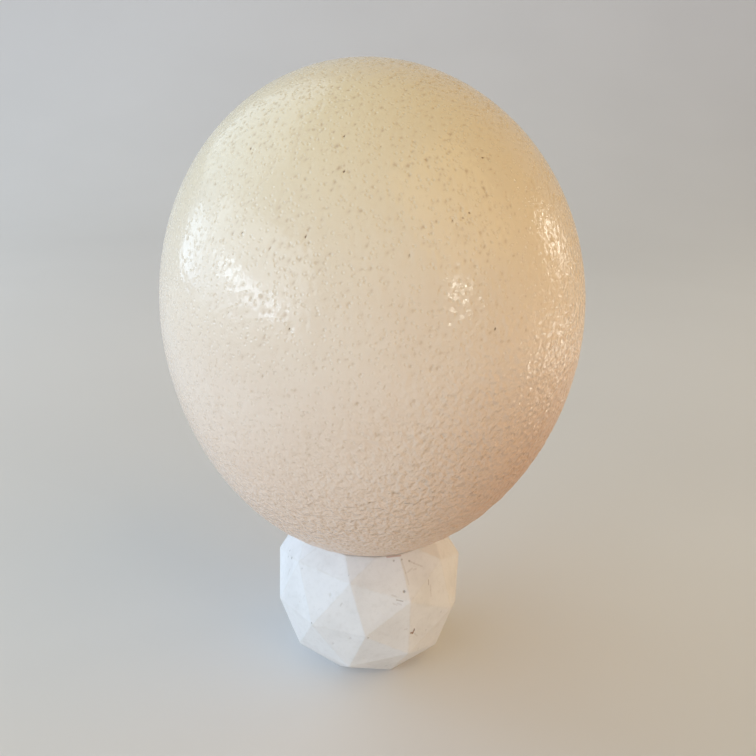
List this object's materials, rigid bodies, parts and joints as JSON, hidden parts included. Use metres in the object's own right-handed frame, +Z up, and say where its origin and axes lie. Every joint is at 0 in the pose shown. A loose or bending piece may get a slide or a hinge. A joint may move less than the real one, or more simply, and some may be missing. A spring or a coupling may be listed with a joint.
{
  "type": "ostrich egg on a stand",
  "caption": "Cream ostrich egg with a pitted, softly glossy shell, standing small end down in the dish of a white faceted stand.",
  "frame": {"origin": "centre of the stand's flat base, on the surface that it stands on", "axes": "+Z up, along the egg's length; the side seen in the picture faces -Y, and +X is to its right"},
  "size_m": [0.1263, 0.1262, 0.1966],
  "materials": {
    "shell": "satin",
    "plaster": "matte"
  },
  "bodies": {
    "root": {"egg": "shell", "stand": "plaster"}
  },
  "joints": []
}
